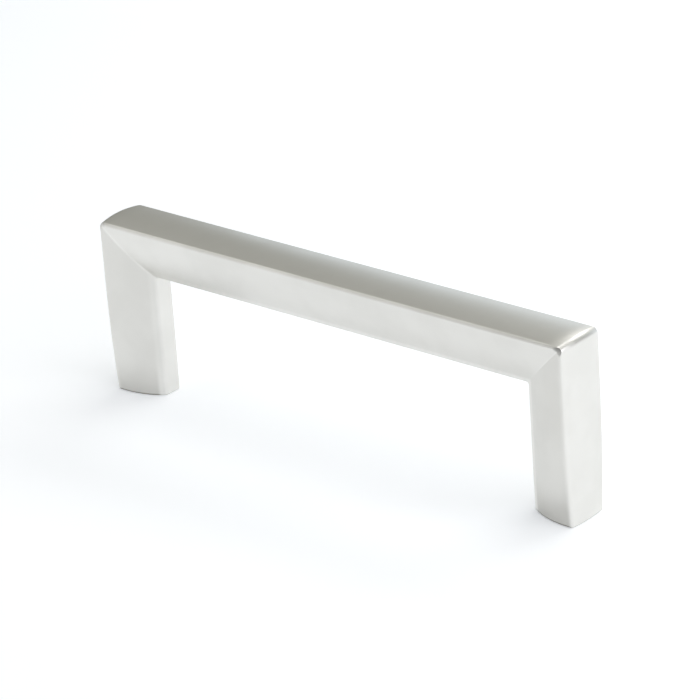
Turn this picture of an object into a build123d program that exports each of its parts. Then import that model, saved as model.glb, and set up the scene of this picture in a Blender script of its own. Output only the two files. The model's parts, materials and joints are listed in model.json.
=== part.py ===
"""Cabinet pull: a square-cornered bridge handle, one casting with a tapped hole in each foot.

Millimetres. The feet stand on z = 0, the bar runs along X and the screw holes lie on the X axis.
Each limb, bar or leg, has the same section: a wide crowned outer face, flanks that curve in, and
a narrow inner face. Where the limbs cross, their flanks meet in a mitred valley.
"""

import os
from math import cos, radians, sin, sqrt, tan

from build123d import *

os.makedirs("parts", exist_ok=True)

# Bridge
hole_spacing = 96.0        # between the screw holes, each in the middle of its leg
edge_height = 34.0         # mounting plane to the long top edges of the bar
limb_thickness = 10.0      # outer edges to inner face
outer_depth = 10.85        # front to back across the outer face, before its edges are rounded
inner_depth = 3.8          # front to back across the inner face, before its edges are rounded
outer_crown = 0.45         # rise of the outer face in the middle of its depth
edge_land = 2.0            # straight part of a flank, next to the outer face
land_lean = 9.0            # angle by which that part leans in

# Legs draw in towards the feet, from a knee below the bar
knee_drop = 2.0            # underside of the bar to the knee
foot_outer_depth = 8.7
foot_inner_depth = 3.5
foot_land_lean = 1.5       # so that the outer edges come in and the rest of the flank hardly moves

# Rounded edges
corner_radius = 1.1        # between the top and the two ends
outer_edge_radius = 0.6    # long edges of the outer faces
inner_edge_radius = 0.85   # long edges of the inner faces
valley_radius = 0.5        # mitred valley, and the inner corner that it runs into
foot_edge_radius = 0.3

# Outer corners, where polishing has rounded the flanks off more than along the edges
ease_arc_radius = 2.75     # arc on the flank, along which the rounding starts
ease_arc_inset = 3.2       # centre of that arc, in from the outer edges
ease_radius = 4.5          # the rounding itself
ease_angle = 8.0           # between the rounding and the flank, at the arc

# Screw holes, at the root diameter of an M4 thread
hole_diameter = 4.1
hole_depth = 14.0
mouth_chamfer = 0.4
mouth_angle = 90.0
drill_point_angle = 118.0

# Limbs are drawn this far past the outer faces before those are cut
trim = 2.0

# Worked out from the dimensions above
edge_length = hole_spacing + limb_thickness
top_height = edge_height + outer_crown
end_reach = edge_length / 2 + outer_crown
underside_height = edge_height - limb_thickness
knee_height = underside_height - knee_drop
crown_radius = (outer_depth**2 / 4 + outer_crown**2) / (2 * outer_crown)
envelope_reach = outer_depth / 2 + trim
envelope_drop = crown_radius - sqrt(crown_radius**2 - envelope_reach**2)


def limb_section(outer, inner, lean):
    """Section of a limb. X runs inwards from the outer edges, Y across the depth."""
    with BuildSketch() as section:
        with BuildLine():
            slope = tan(radians(lean))
            land_end = (edge_land, outer / 2 - edge_land * slope)
            land = Polyline((-trim, 0), (-trim, outer / 2 + trim * slope), land_end)
            flank = TangentArc(land @ 1, (limb_thickness, inner / 2), tangent=(1, -slope))
            Line(flank @ 1, (limb_thickness, 0))
            mirror(about=Plane.XZ)
        make_face()
        fillet(section.vertices().group_by(Axis.X)[-1], inner_edge_radius)
    return section.sketch


def leg_section(z):
    """Section of a leg at or below the knee, drawn in along a parabola that leaves the knee straight."""
    drawn_in = (1 - z / knee_height) ** 2
    outer = outer_depth - (outer_depth - foot_outer_depth) * drawn_in
    inner = inner_depth - (inner_depth - foot_inner_depth) * drawn_in
    lean = land_lean - (land_lean - foot_land_lean) * drawn_in
    return limb_section(outer, inner, lean)


def leg_plane(z):
    """Plane at height z with its origin on the right leg's outer edges and its X pointing inwards."""
    return Plane(origin=(edge_length / 2, 0, z), x_dir=(-1, 0, 0), z_dir=(0, 0, 1))


def is_outer(face):
    """Whether a face is a crowned outer face or a rounded corner between two of them."""
    middle = face.center()
    beyond_edges = middle.Z > edge_height or abs(middle.X) > edge_length / 2
    return beyond_edges and abs(middle.Y) < foot_inner_depth / 2


# Space below the crowned top and between the crowned ends, with rounded corners
with BuildPart() as envelope:
    with BuildSketch(Plane.YZ):
        with BuildLine():
            left_shoulder = (-envelope_reach, top_height - envelope_drop)
            right_shoulder = (envelope_reach, top_height - envelope_drop)
            ThreePointArc(left_shoulder, (0, top_height), right_shoulder)
            Polyline(right_shoulder, (envelope_reach, -trim), (-envelope_reach, -trim), left_shoulder)
        make_face()
    extrude(amount=end_reach, both=True)
    with BuildSketch(Plane.XY.offset(-trim)):
        with BuildLine():
            front_shoulder = (end_reach - envelope_drop, -envelope_reach)
            back_shoulder = (end_reach - envelope_drop, envelope_reach)
            Line((0, -envelope_reach), front_shoulder)
            ThreePointArc(front_shoulder, (end_reach, 0), back_shoulder)
            Line(back_shoulder, (0, envelope_reach))
            mirror(about=Plane.YZ)
        make_face()
    extrude(amount=top_height + 2 * trim, mode=Mode.INTERSECT)
    crown_edges = envelope.edges().filter_by(GeomType.LINE, reverse=True)
    fillet(crown_edges.filter_by_position(Axis.Z, edge_height, top_height), corner_radius)

# What polishing takes off the outer corners, front and back, by turning about each arc's centre
with BuildPart() as easing:
    arc_centre = (edge_length / 2 - ease_arc_inset, 0, edge_height - ease_arc_inset)
    with BuildSketch(Plane(arc_centre, x_dir=(1, 0, 0), z_dir=(0, 0, 1))):
        with BuildLine():
            rounding_x = ease_arc_radius - ease_radius * sin(radians(ease_angle))
            rounding_y = outer_depth / 2 - ease_radius * cos(radians(ease_angle))
            rounding = CenterArc((rounding_x, rounding_y), ease_radius, 0, 90 - ease_angle)
            beyond_x = rounding_x + ease_radius + trim
            beyond_y = outer_depth / 2 + trim
            Polyline(rounding @ 1, (ease_arc_radius, beyond_y), (beyond_x, beyond_y))
            Polyline((beyond_x, beyond_y), (beyond_x, rounding_y), rounding @ 0)
        make_face()
    revolve(axis=Axis(arc_centre, (0, -1, 0)), revolution_arc=90)
    mirror(about=Plane.YZ)
    mirror(about=Plane.XZ)

with BuildPart() as pull:
    # Bar, over the full length, so that its flanks cross those of the legs
    bar_start = Plane(origin=(-edge_length / 2 - trim, 0, edge_height), x_dir=(0, 0, -1), z_dir=(1, 0, 0))
    with BuildSketch(bar_start):
        add(limb_section(outer_depth, inner_depth, land_lean))
    extrude(amount=edge_length + 2 * trim)

    # Legs, straight from the knee up and drawn in from the knee down
    with BuildSketch(leg_plane(knee_height)):
        add(limb_section(outer_depth, inner_depth, land_lean))
    extrude(amount=edge_height + trim - knee_height)
    for z in (knee_height, knee_height / 2, 0):
        with BuildSketch(leg_plane(z)):
            add(leg_section(z))
    loft()
    mirror(about=Plane.YZ)

    # Crowned outer faces and rounded corners
    add(envelope.part, mode=Mode.INTERSECT)

    # Long outer edges, from foot to foot along the front and the back
    outer_edges = pull.faces().filter_by(is_outer).edges()
    fillet([edge for edge in outer_edges if abs(edge.center().Y) > foot_inner_depth / 2], outer_edge_radius)

    # Outer corners
    add(easing.part, mode=Mode.SUBTRACT)

    # Inner corners: the rounding runs on up the valleys, as far as the outer corners
    cross_edges = pull.edges().filter_by(Axis.Y)
    inner_corners = cross_edges.filter_by_position(Axis.Z, underside_height - knee_drop / 2, edge_height)
    fillet(inner_corners, valley_radius)

    # Rims of the feet
    fillet(pull.faces().group_by(Axis.Z)[0].edges(), foot_edge_radius)

    # Blind screw holes with a chamfered mouth and a drill point
    with Locations(Plane.XY.rotated((180, 0, 0))):
        with GridLocations(hole_spacing, 0, 2, 1):
            mouth_radius = hole_diameter / 2 + mouth_chamfer
            CounterSinkHole(hole_diameter / 2, mouth_radius, hole_depth, mouth_angle)
    with Locations(Plane.XY.offset(hole_depth)):
        with GridLocations(hole_spacing, 0, 2, 1):
            point_height = hole_diameter / 2 / tan(radians(drill_point_angle / 2))
            bottom = (Align.CENTER, Align.CENTER, Align.MIN)
            Cone(hole_diameter / 2, 0, point_height, align=bottom, mode=Mode.SUBTRACT)

pull.part.label = "pull"
export_step(pull.part, "parts/pull.step")
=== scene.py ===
"""Satin nickel cabinet pull: its finish, its tapped threads and a small white studio.

Runs as a script in Blender, in metres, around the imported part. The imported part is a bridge: a bar
along X on two legs, with its feet on z = 0 and a blind screw hole in each foot.
"""

import json
from math import cos, pi, radians, sin, sqrt
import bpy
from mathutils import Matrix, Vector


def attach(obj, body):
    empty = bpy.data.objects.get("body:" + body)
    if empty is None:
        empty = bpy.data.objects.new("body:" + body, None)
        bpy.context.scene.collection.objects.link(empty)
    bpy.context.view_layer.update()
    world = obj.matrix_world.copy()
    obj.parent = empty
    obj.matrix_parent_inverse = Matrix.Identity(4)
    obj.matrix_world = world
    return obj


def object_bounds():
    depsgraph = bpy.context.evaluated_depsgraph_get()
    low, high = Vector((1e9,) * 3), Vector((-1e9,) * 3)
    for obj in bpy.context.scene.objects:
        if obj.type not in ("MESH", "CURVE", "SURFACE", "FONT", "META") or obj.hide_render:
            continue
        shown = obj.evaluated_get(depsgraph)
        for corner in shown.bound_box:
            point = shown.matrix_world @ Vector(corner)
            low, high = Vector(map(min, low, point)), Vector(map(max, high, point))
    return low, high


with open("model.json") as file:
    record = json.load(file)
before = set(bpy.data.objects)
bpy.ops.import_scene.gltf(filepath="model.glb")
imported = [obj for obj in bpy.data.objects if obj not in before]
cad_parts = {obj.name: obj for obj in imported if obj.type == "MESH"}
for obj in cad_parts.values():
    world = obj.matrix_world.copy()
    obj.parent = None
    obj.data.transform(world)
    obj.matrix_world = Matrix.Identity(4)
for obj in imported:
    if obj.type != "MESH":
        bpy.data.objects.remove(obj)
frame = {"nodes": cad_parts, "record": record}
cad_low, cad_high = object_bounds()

from types import SimpleNamespace

import bpy
from bpy.props import FloatProperty, FloatVectorProperty, IntProperty, PointerProperty
from mathutils import Matrix, Vector

bl_info = {
    "name": "Satin Nickel Cabinet Pull",
    "version": (1, 0, 0),
    "blender": (4, 5, 0),
    "location": "3D View > Sidebar > Pull",
    "description": "Finishes the packed pull, taps its screw holes and sets a studio round it",
    "category": "Object",
}

MM = 0.001
HANDLE = frame["nodes"]["pull"]
SCREW_HOLES = next(
    mount["dims"] for mount in frame["record"]["mounts"] if mount["name"] == "screw_holes")
HOLE_SPACING = SCREW_HOLES["spacing_x_mm"] * MM
HOLE_RADIUS = SCREW_HOLES["hole_r_mm"] * MM

# Places on the handle, in millimetres, over which one look gives way to another
FLANK_START = (0.4, 1.4)         # in from the outer face
FLANK_END = (8.8, 9.6)
FLANK_INNER_HALF = (3.5, 9.5)
FOOT = (0.5, 7.5)                # up from the mounting plane
FOOT_RIM = (0.15, 0.4)
MITRE = (0.1, 0.6)               # to either side of a mitre
LEFT_TO_RIGHT = (-50.0, 50.0)    # along the bar
TOP_END = (0.0, 4.5)             # in from an end

# Darkening of the plate towards the dull colour, 0 for none and 1 for all of it: clouding is random
# dullness, the rest is painted shade, and negative values are painted highlight
LEG_FLANK_PAINTED_SHADE = 0.17
INNER_HALF_PAINTED_SHADE = 0.18
FOOT_PAINTED_SHADE = 0.42
RIM_PAINTED_SHADE = 0.4               # painted shade all round a foot
RIM_FLANK_PAINTED_SHADE = 1.2         # painted shade on its flanks as well
CLOUD_DULLNESS = 0.1
SIDE_PAINTED_LIGHT_AND_SHADE = (-0.05, 0.13)    # painted light on flanks at the left end, painted shade at the right end
MITRE_PAINTED_HIGHLIGHT = (-0.2, -0.06)   # painted highlight along the left mitre and the right mitre

# Values between which most of a noise lies
NOISE_SPAN = (0.3, 0.7)
CLOUD_SPAN = (0.35, 0.65)


def linear_rgb(hex_colour):
    """Linear red, green and blue of an sRGB colour written as six hex digits."""
    levels = [int(hex_colour[i:i + 2], 16) / 255 for i in (0, 2, 4)]
    return [c / 12.92 if c <= 0.04045 else ((c + 0.055) / 1.055) ** 2.4 for c in levels]


def add_node(tree, kind, inputs=None, **settings):
    """Add a node with its settings.

    Each input, by name or number, is linked to a socket or given a value.
    """
    node = tree.nodes.new(kind)
    for name, value in settings.items():
        setattr(node, name, value)
    for name, value in (inputs or {}).items():
        if isinstance(value, bpy.types.NodeSocket):
            tree.links.new(value, node.inputs[name])
        else:
            node.inputs[name].default_value = value
    return node


def calculate(tree, operation, first, second=0.0):
    """Result of an operation on two numbers or sockets."""
    return add_node(tree, "ShaderNodeMath", {0: first, 1: second}, operation=operation).outputs[0]


def total(tree, first, *others):
    """Sum of numbers or sockets."""
    for other in others:
        first = calculate(tree, "ADD", first, other)
    return first


def spread(tree, value, span, results):
    """A value moved smoothly from a span, low to high, to two results, and held at the ends."""
    return add_node(tree, "ShaderNodeMapRange", {
        "Value": value, "From Min": span[0], "From Max": span[1],
        "To Min": results[0], "To Max": results[1],
    }, interpolation_type="SMOOTHSTEP").outputs["Result"]


def noise(tree, place, scale, detail=2.0):
    """Soft noise, from 0 to 1."""
    return add_node(tree, "ShaderNodeTexNoise", {
        "Vector": place, "Scale": scale, "Detail": detail}).outputs["Fac"]


def new_material(name):
    """An empty node material and its output node."""
    material = bpy.data.materials.new(name)
    material.use_nodes = True
    tree = material.node_tree
    tree.nodes.clear()
    return material, tree, add_node(tree, "ShaderNodeOutputMaterial")


class NickelFinish(bpy.types.PropertyGroup):
    """Look of the plated surface."""

    # The plate's own colour, where neither clouding nor painted shade darkens it
    plate_colour: FloatVectorProperty(
        name="Plate Colour", description="Nickel plate where it is well brushed",
        subtype="COLOR", min=0, max=1, default=linear_rgb("E6E5E1"))
    # Colour towards which the plate is darkened: by random clouding, and by painted shade on the
    # flanks, feet and rims
    dull_and_shade_colour: FloatVectorProperty(
        name="Dull Colour", description="Nickel plate that the brush has not reached",
        subtype="COLOR", min=0, max=1, default=linear_rgb("BEBCB6"))
    roughness: FloatProperty(
        name="Roughness", description="Mean roughness of the satin surface",
        subtype="FACTOR", min=0, max=1, default=0.36)
    end_lean: FloatProperty(
        name="End Lean", description="Angle by which polishing has turned down the ends of the top",
        subtype="ANGLE", default=radians(10))
    brush_pitch: FloatProperty(
        name="Brush Pitch", description="Between brush marks",
        unit="LENGTH", precision=5, default=0.3 * MM)
    brush_length: FloatProperty(
        name="Brush Length", description="Along a brush mark",
        unit="LENGTH", precision=5, default=9 * MM)
    brush_depth: FloatProperty(
        name="Brush Depth", description="Height of the brush marks",
        unit="LENGTH", precision=6, default=0.0006 * MM)


class ScrewThread(bpy.types.PropertyGroup):
    """Sizes of the thread in the screw holes."""

    pitch: FloatProperty(
        name="Pitch", description="Rise of one turn",
        unit="LENGTH", precision=5, default=0.7 * MM)
    ridge_height: FloatProperty(
        name="Ridge Height", description="From the wall of the hole to the crest",
        unit="LENGTH", precision=5, default=0.38 * MM)
    start: FloatProperty(
        name="Start", description="Mounting plane to the first turn",
        unit="LENGTH", precision=5, default=0.6 * MM)
    turns: IntProperty(name="Turns", description="Number of turns", default=16)
    zinc_colour: FloatVectorProperty(
        name="Zinc Colour", description="Cut zinc alloy",
        subtype="COLOR", min=0, max=1, default=linear_rgb("BDBFC2"))


class Studio(bpy.types.PropertyGroup):
    """Table, light and camera. A level of 1 is white."""

    table_colour: FloatVectorProperty(
        name="Table Colour", description="White acrylic table",
        subtype="COLOR", min=0, max=1, default=linear_rgb("F3F3F3"))
    glow_colour: FloatVectorProperty(
        name="Glow Colour", description="Light that comes up through the table",
        subtype="COLOR", min=0, max=1, default=linear_rgb("F1F7FF"))
    glow_level: FloatProperty(
        name="Glow Level", description="Light through the table, as the metal mirrors it",
        default=0.35)
    seen_level: FloatProperty(
        name="Seen Level", description="Light through the table, as the camera sees it",
        default=0.33)
    room_colour: FloatVectorProperty(
        name="Room Colour", description="Pale ceiling and back wall",
        subtype="COLOR", min=0, max=1, default=linear_rgb("FCFCF2"))
    room_level: FloatProperty(
        name="Room Level", description="Light from the ceiling and back wall", default=0.365)
    dim_level: FloatProperty(
        name="Dim Level", description="Light from the front of the room", default=0.08)
    key_level: FloatProperty(name="Key Level", description="Softbox behind", default=2.4)
    top_level: FloatProperty(name="Top Level", description="Softbox overhead", default=1.2)
    left_level: FloatProperty(name="Left Level", description="Softbox on the left", default=0.66)
    window_colour: FloatVectorProperty(
        name="Window Colour", description="Daylight from the window on the right",
        subtype="COLOR", min=0, max=1, default=linear_rgb("F9FAFF"))
    window_level: FloatProperty(
        name="Window Level", description="Light from the window", default=1.9)
    card_colour: FloatVectorProperty(
        name="Card Colour", description="Low bluish card behind",
        subtype="COLOR", min=0, max=1, default=linear_rgb("E6F2FF"))
    card_level: FloatProperty(
        name="Card Level", description="Light from that card", default=1.06)
    front_level: FloatProperty(
        name="Front Level", description="Reflector at the front left", default=1.09)
    view_azimuth: FloatProperty(
        name="View Azimuth", description="Camera round to the right of the front",
        subtype="ANGLE", default=radians(41.626))
    view_elevation: FloatProperty(
        name="View Elevation", description="Camera above the table",
        subtype="ANGLE", default=radians(24.238))
    view_roll: FloatProperty(
        name="View Roll", description="Tilt of the picture",
        subtype="ANGLE", default=radians(-4.052))
    view_distance: FloatProperty(
        name="View Distance", description="Camera to the aim point",
        unit="LENGTH", default=0.67541)
    view_lens: FloatProperty(
        name="Lens", description="Focal length in millimetres", default=195.43)


def limb_coordinates(tree):
    """Millimetres along, across and through a limb, and in from its end, outer face and mitre.

    The brushing turns from the bar to a leg at the mitre, where both outer faces are equally near.
    """
    place = add_node(tree, "ShaderNodeTexCoord").outputs["Object"]
    scaled = add_node(tree, "ShaderNodeVectorMath", {0: place, "Scale": 1 / MM}, operation="SCALE")
    x, y, z = add_node(tree, "ShaderNodeSeparateXYZ", {0: scaled.outputs[0]}).outputs
    from_end = calculate(tree, "SUBTRACT", cad_high[0] / MM, calculate(tree, "ABSOLUTE", x))
    from_top = calculate(tree, "SUBTRACT", cad_high[2] / MM, z)
    on_leg = calculate(tree, "LESS_THAN", from_end, from_top)
    past_mitre = calculate(tree, "SUBTRACT", from_end, from_top)
    along = add_node(tree, "ShaderNodeMix", {"Factor": on_leg, "A": x, "B": z})
    across = add_node(tree, "ShaderNodeMix", {"Factor": on_leg, "A": z, "B": x})
    return SimpleNamespace(
        x=x, depth=y, height=z, from_end=from_end, on_leg=on_leg,
        inwards=calculate(tree, "MINIMUM", from_end, from_top),
        from_mitre=calculate(tree, "ABSOLUTE", past_mitre),
        along=along.outputs["Result"], across=across.outputs["Result"],
    )


def brush_marks(tree, limb, finish):
    """Marks along each limb. Real ones are too fine to show, so these are coarser and fainter."""
    length, pitch = finish.brush_length / MM, finish.brush_pitch / MM
    place = add_node(tree, "ShaderNodeCombineXYZ", {
        "X": calculate(tree, "DIVIDE", limb.along, length),
        "Y": calculate(tree, "DIVIDE", limb.depth, pitch),
        "Z": calculate(tree, "DIVIDE", limb.across, pitch),
    })
    return noise(tree, place.outputs[0], scale=1.0)


def clouding(tree, limb):
    """Patches some 8 mm wide, where the plate is a little duller."""
    place = add_node(tree, "ShaderNodeCombineXYZ", {
        "X": limb.along, "Y": limb.depth, "Z": limb.across})
    return noise(tree, place.outputs[0], scale=0.12, detail=3.0)


def painted_shade_and_dullness(tree, limb, clouds):
    """How far the plate is darkened towards the dull colour, mostly as painted shade.

    Painted shade darkens the flanks on the legs, on the inner half of the bar, at the feet and a
    little more towards the right, with painted light towards the left, and a painted highlight
    lightens them along the mitres. Painted shade darkens the rims of the feet all round, and
    clouding dulls patches everywhere at random.
    """
    on_flank = calculate(
        tree, "MULTIPLY", spread(tree, limb.inwards, FLANK_START, (0.0, 1.0)),
        spread(tree, limb.inwards, FLANK_END, (1.0, 0.0)))
    on_mitre = spread(tree, limb.from_mitre, MITRE, (1.0, 0.0))
    # Painted shade: the legs' flanks darker than the bar's
    leg = calculate(tree, "MULTIPLY", limb.on_leg, LEG_FLANK_PAINTED_SHADE)
    # Painted shade: the inner half of each flank darker
    inner_half = spread(tree, limb.inwards, FLANK_INNER_HALF, (0.0, INNER_HALF_PAINTED_SHADE))
    # Painted shade: flanks darker towards the feet, for the contact shadow they mirror
    foot = spread(tree, limb.height, FOOT, (FOOT_PAINTED_SHADE, 0.0))
    # Painted shade: the foot's rim darker on the flanks
    rim_flank = spread(tree, limb.height, FOOT_RIM, (RIM_FLANK_PAINTED_SHADE, 0.0))
    # Painted light towards the left end, painted shade towards the right
    side = spread(tree, limb.x, LEFT_TO_RIGHT, SIDE_PAINTED_LIGHT_AND_SHADE)
    # Painted highlight along each mitre, stronger on the left
    mitre = calculate(
        tree, "MULTIPLY", on_mitre, spread(tree, limb.x, LEFT_TO_RIGHT, MITRE_PAINTED_HIGHLIGHT))
    flank = total(
        tree, calculate(tree, "MAXIMUM", leg, inner_half), foot, rim_flank, side, mitre)
    cloud = spread(tree, clouds, CLOUD_SPAN, (CLOUD_DULLNESS, 0.0))
    # Painted shade: a dark line all round the rim of each foot
    rim = spread(tree, limb.height, FOOT_RIM, (RIM_PAINTED_SHADE, 0.0))
    return total(tree, calculate(tree, "MULTIPLY", on_flank, flank), cloud, rim)


def polished_normal(tree, limb, marks, finish):
    """Way the surface faces, with brush marks and with the ends of the top turned down a little."""
    ridges = add_node(tree, "ShaderNodeBump", {"Height": marks, "Distance": finish.brush_depth})
    facing = add_node(tree, "ShaderNodeNewGeometry").outputs["Normal"]
    upwards = add_node(tree, "ShaderNodeSeparateXYZ", {0: facing}).outputs["Z"]
    off_top, on_top = 0.6, 0.9
    lean = calculate(
        tree, "MULTIPLY", spread(tree, limb.from_end, TOP_END, (finish.end_lean, 0.0)),
        spread(tree, upwards, (off_top, on_top), (0.0, 1.0)))
    outwards = add_node(tree, "ShaderNodeCombineXYZ", {
        "X": calculate(tree, "MULTIPLY", lean, calculate(tree, "SIGN", limb.x))})
    leaning = add_node(tree, "ShaderNodeVectorMath", {
        0: ridges.outputs["Normal"], 1: outwards.outputs[0]}, operation="ADD")
    normal = add_node(
        tree, "ShaderNodeVectorMath", {0: leaning.outputs[0]}, operation="NORMALIZE")
    return normal.outputs[0]


def satin_nickel(finish):
    """Nickel plate, brushed along each limb: soft and slightly warm, with faint clouding, and with
    shade and highlights painted into its colour.
    """
    material, tree, output = new_material("brushed_satin_nickel")
    limb = limb_coordinates(tree)
    marks = brush_marks(tree, limb, finish)
    clouds = clouding(tree, limb)
    # Colour: the plate darkened by clouding and by painted shade, and lightened by painted highlight
    # Mix node's inputs by number, because its number and colour inputs share their names
    colour = add_node(tree, "ShaderNodeMix", {
        0: painted_shade_and_dullness(tree, limb, clouds),
        6: (*finish.plate_colour, 1), 7: (*finish.dull_and_shade_colour, 1),
    }, data_type="RGBA", clamp_factor=False)
    change = 0.01     # in roughness, over marks and over clouds
    rough, smooth = finish.roughness + change, finish.roughness - change
    roughness = calculate(
        tree, "ADD", spread(tree, marks, NOISE_SPAN, (-change, change)),
        spread(tree, clouds, CLOUD_SPAN, (rough, smooth)))
    shader = add_node(tree, "ShaderNodeBsdfPrincipled", {
        "Base Color": colour.outputs[2], "Metallic": 1.0, "Roughness": roughness,
        "Normal": polished_normal(tree, limb, marks, finish)})
    tree.links.new(shader.outputs["BSDF"], output.inputs["Surface"])
    return material


def cut_zinc(thread):
    """Zinc alloy as the tap leaves it: greyer and duller than the plate."""
    material, tree, output = new_material("cut_zinc")
    grain_size = 0.25 * MM
    smooth, rough = 0.35, 0.5
    place = add_node(tree, "ShaderNodeTexCoord").outputs["Object"]
    grain = noise(tree, place, scale=1 / grain_size)
    shader = add_node(tree, "ShaderNodeBsdfPrincipled", {
        "Base Color": (*thread.zinc_colour, 1), "Metallic": 1.0,
        "Roughness": spread(tree, grain, NOISE_SPAN, (smooth, rough))})
    tree.links.new(shader.outputs["BSDF"], output.inputs["Surface"])
    return material


def white_table(studio):
    """White acrylic with light coming up through it: pale, with soft bluish shadows."""
    material, tree, output = new_material("white_acrylic_table")
    rays = add_node(tree, "ShaderNodeLightPath").outputs
    mirrored = calculate(tree, "MAXIMUM", rays["Is Glossy Ray"], rays["Is Transmission Ray"])
    level = calculate(
        tree, "ADD", calculate(tree, "MULTIPLY", mirrored, studio.glow_level),
        calculate(tree, "MULTIPLY", rays["Is Camera Ray"], studio.seen_level))
    glow = add_node(tree, "ShaderNodeEmission", {
        "Color": (*studio.glow_colour, 1), "Strength": level})
    surface = add_node(tree, "ShaderNodeBsdfDiffuse", {"Color": (*studio.table_colour, 1)})
    both = add_node(tree, "ShaderNodeAddShader", {0: surface.outputs[0], 1: glow.outputs[0]})
    tree.links.new(both.outputs[0], output.inputs["Surface"])
    return material


class PULL_OT_finish_handle(bpy.types.Operator):
    """Give the handle its brushed nickel"""

    bl_idname = "pull.finish_handle"
    bl_label = "Finish Handle"

    def execute(self, context):
        HANDLE.data.materials.clear()
        HANDLE.data.materials.append(satin_nickel(context.scene.nickel_finish))
        return {"FINISHED"}


class PULL_OT_tap_holes(bpy.types.Operator):
    """Cut a thread in each screw hole"""

    bl_idname = "pull.tap_holes"
    bl_label = "Tap Holes"

    def execute(self, context):
        thread = context.scene.screw_thread
        zinc = cut_zinc(thread)
        for side, x in (("left", -HOLE_SPACING / 2), ("right", HOLE_SPACING / 2)):
            piece = self.wind_thread(context, thread, x)
            piece.name = f"{side}_thread"
            piece.data.materials.append(zinc)
            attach(piece, "root")
        return {"FINISHED"}

    def wind_thread(self, context, thread, x):
        """A V-shaped ridge wound up the wall of a hole, with a pointed run-out at each end."""
        sunk = 0.02 * MM                      # base of the ridge, into the wall
        base_height = 0.9 * thread.pitch      # so that a little of the wall shows between turns
        # Triangle of equal sides, which is 1.5 radii from base to point
        radius = (thread.ridge_height + sunk) / 1.5
        side_length = radius * sqrt(3)
        bpy.ops.object.select_all(action="DESELECT")
        # Its point faces the axis, and its base is then drawn to the height of the ridge's base
        bpy.ops.mesh.primitive_circle_add(
            vertices=3, radius=radius, location=(x, 0, thread.start),
            rotation=(pi / 2, -pi / 2, 0))
        piece = context.object
        bpy.ops.object.transform_apply(location=False, rotation=True, scale=False)
        bpy.ops.object.mode_set(mode="EDIT")
        bpy.ops.mesh.select_all(action="SELECT")
        bpy.ops.transform.resize(value=(1, 1, base_height / side_length))
        bpy.ops.transform.translate(value=(HOLE_RADIUS + sunk - radius / 2, 0, 0))
        bpy.ops.object.mode_set(mode="OBJECT")
        screw = piece.modifiers.new("turns", "SCREW")
        screw.iterations = thread.turns
        screw.screw_offset = thread.pitch
        screw.steps = screw.render_steps = 24
        screw.use_merge_vertices = False
        bpy.ops.object.modifier_apply(modifier=screw.name)
        # Run-outs: each open end is drawn together to a point
        bpy.ops.object.mode_set(mode="EDIT")
        bpy.ops.mesh.select_all(action="DESELECT")
        bpy.ops.mesh.select_non_manifold()
        bpy.ops.mesh.merge(type="COLLAPSE")
        bpy.ops.mesh.select_all(action="SELECT")
        bpy.ops.mesh.normals_make_consistent(inside=False)
        bpy.ops.object.mode_set(mode="OBJECT")
        bpy.ops.object.shade_smooth_by_angle(angle=radians(30))
        bpy.ops.object.transform_apply(location=True, rotation=True, scale=True)
        return piece


def add_softbox(name, place, facing, size, level, colour=(1, 1, 1)):
    """An area lamp with a face of a given level, turned towards a point."""
    lamp = bpy.data.lights.new(name, "AREA")
    lamp.shape = "RECTANGLE"
    lamp.size, lamp.size_y = width, height = size
    lamp.energy = level * pi * width * height
    lamp.color = colour
    softbox = bpy.data.objects.new(name, lamp)
    bpy.context.scene.collection.objects.link(softbox)
    softbox.location = place
    softbox.rotation_euler = (Vector(place) - Vector(facing)).to_track_quat("Z", "Y").to_euler()


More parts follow.
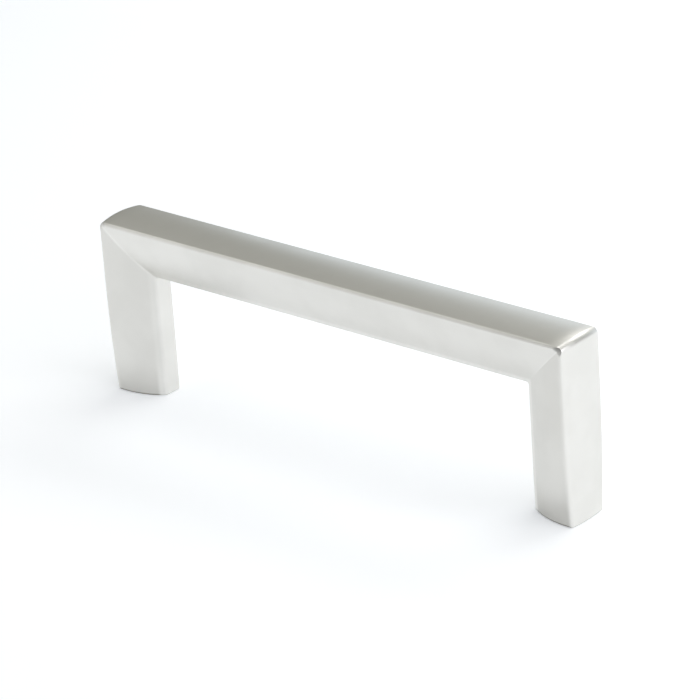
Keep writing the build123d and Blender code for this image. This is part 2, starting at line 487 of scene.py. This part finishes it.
class PULL_OT_set_stage(bpy.types.Operator):
    """Lay the table, light it and set the camera"""

    bl_idname = "pull.set_stage"
    bl_label = "Set Stage"

    def execute(self, context):
        studio = context.scene.pull_studio
        bpy.ops.object.select_all(action="DESELECT")
        bpy.ops.mesh.primitive_plane_add(size=8, location=(0, 0, 0))
        table = context.object
        table.name = "white_table"
        table.data.materials.append(white_table(studio))
        self.light_room(context.scene, studio)
        self.hang_lamps(studio)
        self.set_camera(context.scene, studio)
        context.scene.view_settings.view_transform = "Standard"
        return {"FINISHED"}

    def light_room(self, scene, studio):
        """A room that is pale above and behind, and dim in front."""
        world = bpy.data.worlds.new("studio_room")
        world.use_nodes = True
        tree = world.node_tree
        tree.nodes.clear()
        pale_side = Vector((-0.15, 0.68, 0.72)).normalized()
        fade = (-0.05, 0.9)     # from dim to pale, as the cosine of the angle from the pale side
        direction = add_node(tree, "ShaderNodeTexCoord").outputs["Generated"]
        towards = add_node(
            tree, "ShaderNodeVectorMath", {0: direction, 1: pale_side}, operation="DOT_PRODUCT")
        level = spread(
            tree, towards.outputs["Value"], fade, (studio.dim_level, studio.room_level))
        room = add_node(tree, "ShaderNodeBackground", {
            "Color": (*studio.room_colour, 1), "Strength": level})
        add_node(tree, "ShaderNodeOutputWorld", {"Surface": room.outputs["Background"]})
        scene.world = world

    def hang_lamps(self, studio):
        """Large, weak lamps, so that less of the metal clips to white where it mirrors them."""
        handle = (0, 0, 0.02)
        add_softbox(
            "key_softbox", place=(0.03, 0.33, 0.32), facing=handle, size=(0.38, 0.12),
            level=studio.key_level)
        add_softbox(
            "top_softbox", place=(0.09, 0.05, 0.48), facing=handle, size=(0.42, 0.36),
            level=studio.top_level)
        add_softbox(
            "left_softbox", place=(-0.385, -0.02, 0.48), facing=handle, size=(0.45, 0.32),
            level=studio.left_level)
        add_softbox(
            "window", place=(0.66, -0.09, 0.3), facing=handle, size=(1.0, 0.6),
            level=studio.window_level, colour=studio.window_colour)
        add_softbox(
            "front_reflector", place=(-0.515, -0.534, 0.32), facing=handle, size=(0.4, 0.6),
            level=studio.front_level)
        add_softbox(
            "back_card", place=(-0.043, 0.3, 0.068), facing=(-0.043, 0, 0.068),
            size=(0.486, 0.135), level=studio.card_level, colour=studio.card_colour)

    def set_camera(self, scene, studio):
        """The photograph's view, aimed a little up and to the right of the handle's middle."""
        around, above, roll = studio.view_azimuth, studio.view_elevation, studio.view_roll
        middle = Vector((0, 0, 0.016))
        shift_right, shift_up = 0.000959, 0.002747
        back = Vector((sin(around) * cos(above), -cos(around) * cos(above), sin(above)))
        level_right = Vector((cos(around), sin(around), 0))
        level_up = back.cross(level_right)
        right = cos(roll) * level_right + sin(roll) * level_up
        up = -sin(roll) * level_right + cos(roll) * level_up
        aim = middle + shift_right * right + shift_up * up
        lens = bpy.data.cameras.new("camera")
        lens.lens = studio.view_lens
        lens.sensor_width = 36
        camera = bpy.data.objects.new("camera", lens)
        scene.collection.objects.link(camera)
        turn = Matrix((right, up, back)).transposed().to_4x4()
        camera.matrix_world = Matrix.Translation(aim + studio.view_distance * back) @ turn
        scene.camera = camera


class PULL_PT_panel(bpy.types.Panel):
    """Steps of the pull, in order"""

    bl_idname = "PULL_PT_panel"
    bl_label = "Cabinet Pull"
    bl_space_type = "VIEW_3D"
    bl_region_type = "UI"
    bl_category = "Pull"

    def draw(self, context):
        scene = context.scene
        for group in (scene.nickel_finish, scene.screw_thread, scene.pull_studio):
            for name in group.__annotations__:
                self.layout.prop(group, name)
        for step in (PULL_OT_finish_handle, PULL_OT_tap_holes, PULL_OT_set_stage):
            self.layout.operator(step.bl_idname)


CLASSES = (
    NickelFinish, ScrewThread, Studio, PULL_OT_finish_handle, PULL_OT_tap_holes, PULL_OT_set_stage,
    PULL_PT_panel,
)


def register():
    for cls in CLASSES:
        bpy.utils.register_class(cls)
    bpy.types.Scene.nickel_finish = PointerProperty(type=NickelFinish)
    bpy.types.Scene.screw_thread = PointerProperty(type=ScrewThread)
    bpy.types.Scene.pull_studio = PointerProperty(type=Studio)


def unregister():
    del bpy.types.Scene.pull_studio
    del bpy.types.Scene.screw_thread
    del bpy.types.Scene.nickel_finish
    for cls in reversed(CLASSES):
        bpy.utils.unregister_class(cls)


def main():
    register()
    bpy.ops.pull.finish_handle()
    bpy.ops.pull.tap_holes()
    bpy.ops.pull.set_stage()


if __name__ == "__main__":
    main()
